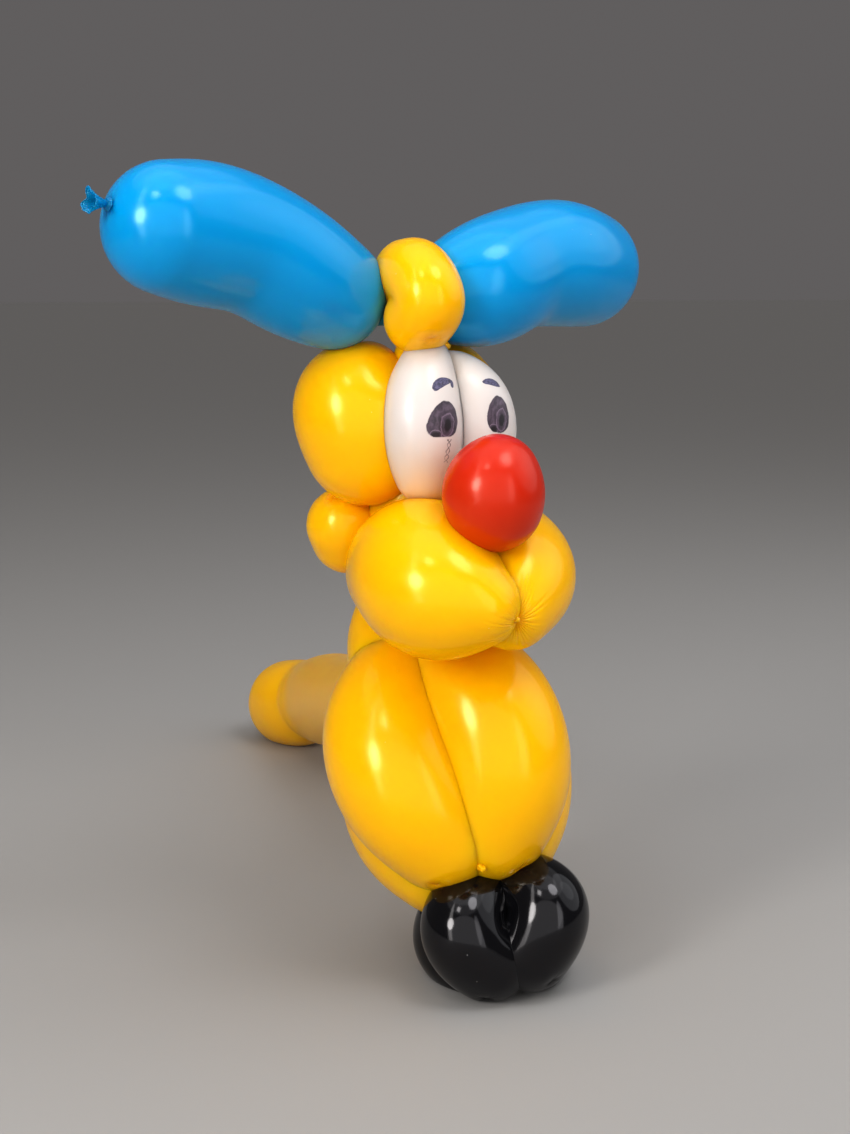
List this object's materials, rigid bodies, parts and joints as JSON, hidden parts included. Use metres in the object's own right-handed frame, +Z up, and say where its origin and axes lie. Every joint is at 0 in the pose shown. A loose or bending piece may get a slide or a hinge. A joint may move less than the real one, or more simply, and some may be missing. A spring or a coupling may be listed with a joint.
{
  "type": "balloon dog",
  "caption": "Sitting dog twisted from long modelling balloons, with wide blue ears, drawn eyes, a round red nose and a straight tail that props it up.",
  "frame": {"origin": "centre of the bounding box's underside, on the floor that the feet and the tail's end rest on", "axes": "+Z up; the dog faces -Y and its tail runs back along +Y; +X is the dog's own left"},
  "size_m": [0.2634, 0.4784, 0.3513],
  "materials": {
    "blue_latex": "glossy",
    "yellow_latex": "glossy",
    "white_latex": "glossy",
    "red_latex": "glossy",
    "black_latex": "glossy"
  },
  "bodies": {
    "root": {"ears_balloon": "blue_latex", "head_balloon": "yellow_latex", "eyes_balloon": "white_latex", "nose_balloon": "red_latex", "body_balloon": "yellow_latex", "feet_balloon": "black_latex"}
  },
  "joints": []
}
